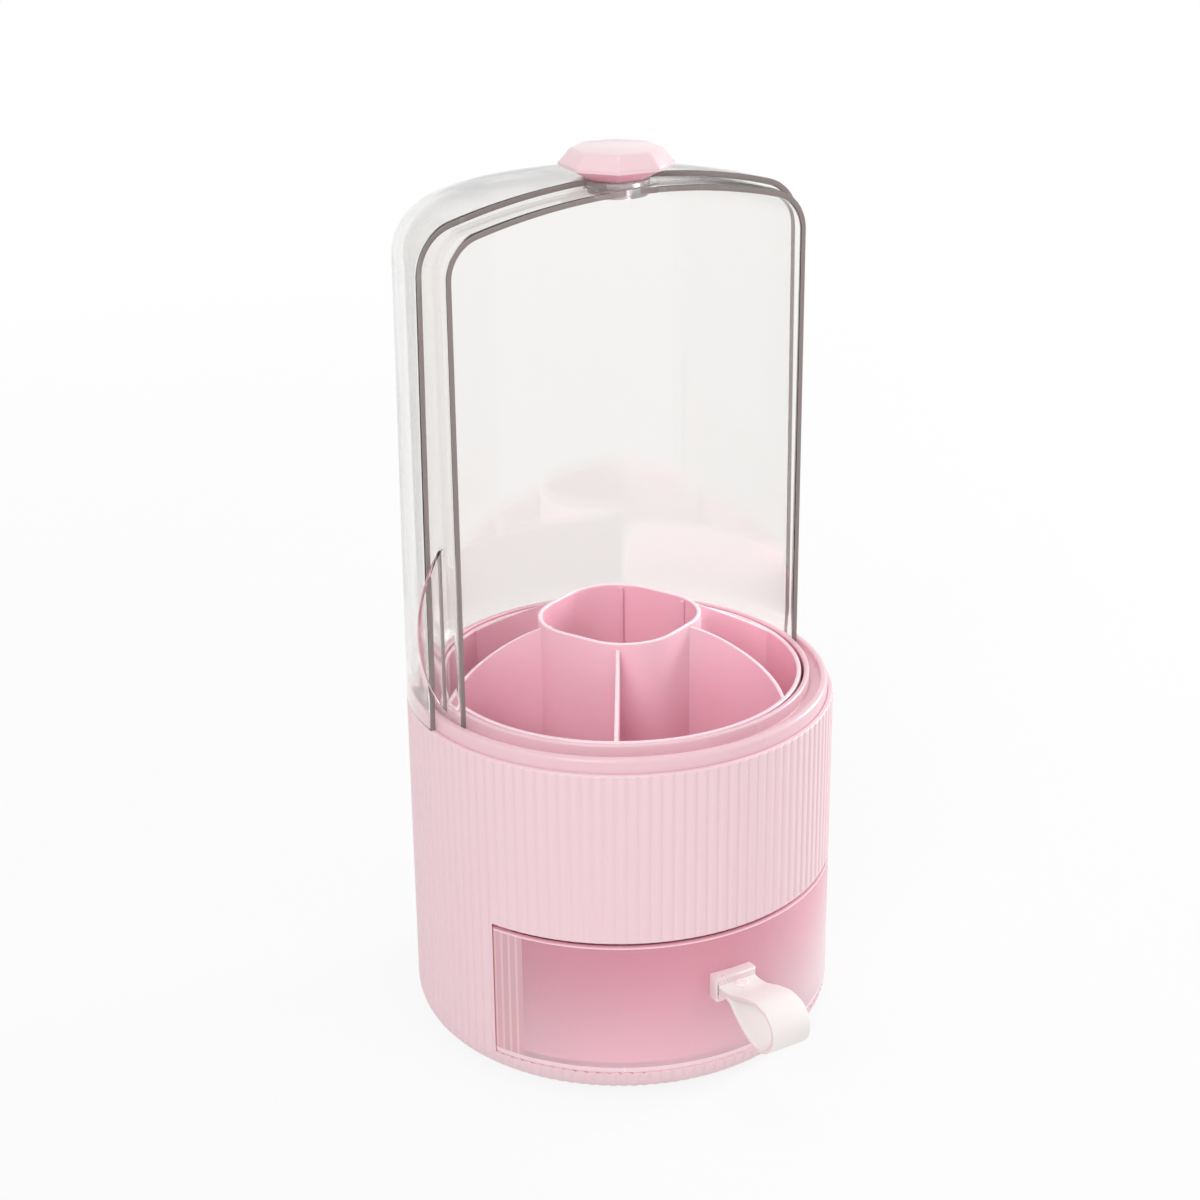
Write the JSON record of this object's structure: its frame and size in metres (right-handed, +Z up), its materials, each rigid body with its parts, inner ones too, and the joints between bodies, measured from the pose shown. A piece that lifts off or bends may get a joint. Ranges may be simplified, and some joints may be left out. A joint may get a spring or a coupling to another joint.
{
  "type": "makeup brush box",
  "caption": "Round ribbed makeup box with a pull-out drawer, a lift-out brush tray with petal compartments and a clear domed cover that turns open on a gem-cut knob.",
  "frame": {"origin": "on the drum's axis, at the surface that the box stands on", "axes": "+Z up along the drum's axis; the drawer and the cover's opening face -Y; +X is to the right seen from the front"},
  "size_m": [0.1437, 0.1737, 0.2912],
  "materials": {
    "pink_drum": "satin moulded plastic, vertical ribs",
    "pink_rim": "smooth satin moulded plastic",
    "pink_tray": "smooth slightly translucent moulded plastic",
    "clear_shell": "clear polished plastic",
    "clear_drawer": "clear plastic with a pink tint",
    "clear_fitting": "clear moulded plastic",
    "pink_knob": "glossy opaque plastic",
    "white_strap": "soft matt silicone-like rubber",
    "soft_pad": "matt soft pad"
  },
  "bodies": {
    "housing": {"drum_shell": "pink_drum", "base_pad": "soft_pad", "bowl_insert": "pink_rim", "runner_left": "pink_drum", "runner_right": "pink_drum", "rear_shell": "clear_shell"},
    "front_cover": {"front_shell": "clear_shell", "pivot_pin": "clear_fitting", "pivot_collar": "clear_fitting", "gem_knob": "pink_knob"},
    "tray": {"tray_cup": "pink_tray", "tray_tube": "pink_tray", "tray_petal_front_left": "pink_tray", "tray_petal_front_right": "pink_tray", "tray_petal_rear_left": "pink_tray", "tray_petal_rear_right": "pink_tray", "tray_wall_front": "pink_tray", "tray_wall_rear": "pink_tray"},
    "drawer": {"drawer_tub": "clear_drawer", "strap_bracket": "clear_fitting", "pull_strap": "white_strap", "strap_rivet": "clear_fitting"}
  },
  "joints": [
    {"name": "cover_turn", "type": "hinge", "parent": "housing", "child": "front_cover", "pos_m": [0, 0, 0.281], "axis": [0, 0, 1], "range_deg": [0, 177.5]},
    {"name": "tray_lift", "type": "slide", "parent": "housing", "child": "tray", "axis": [0, 0, 1], "range_m": [0, 0.088]},
    {"name": "drawer_slide", "type": "slide", "parent": "housing", "child": "drawer", "axis": [0, -1, 0], "range_m": [0, 0.075]}
  ]
}
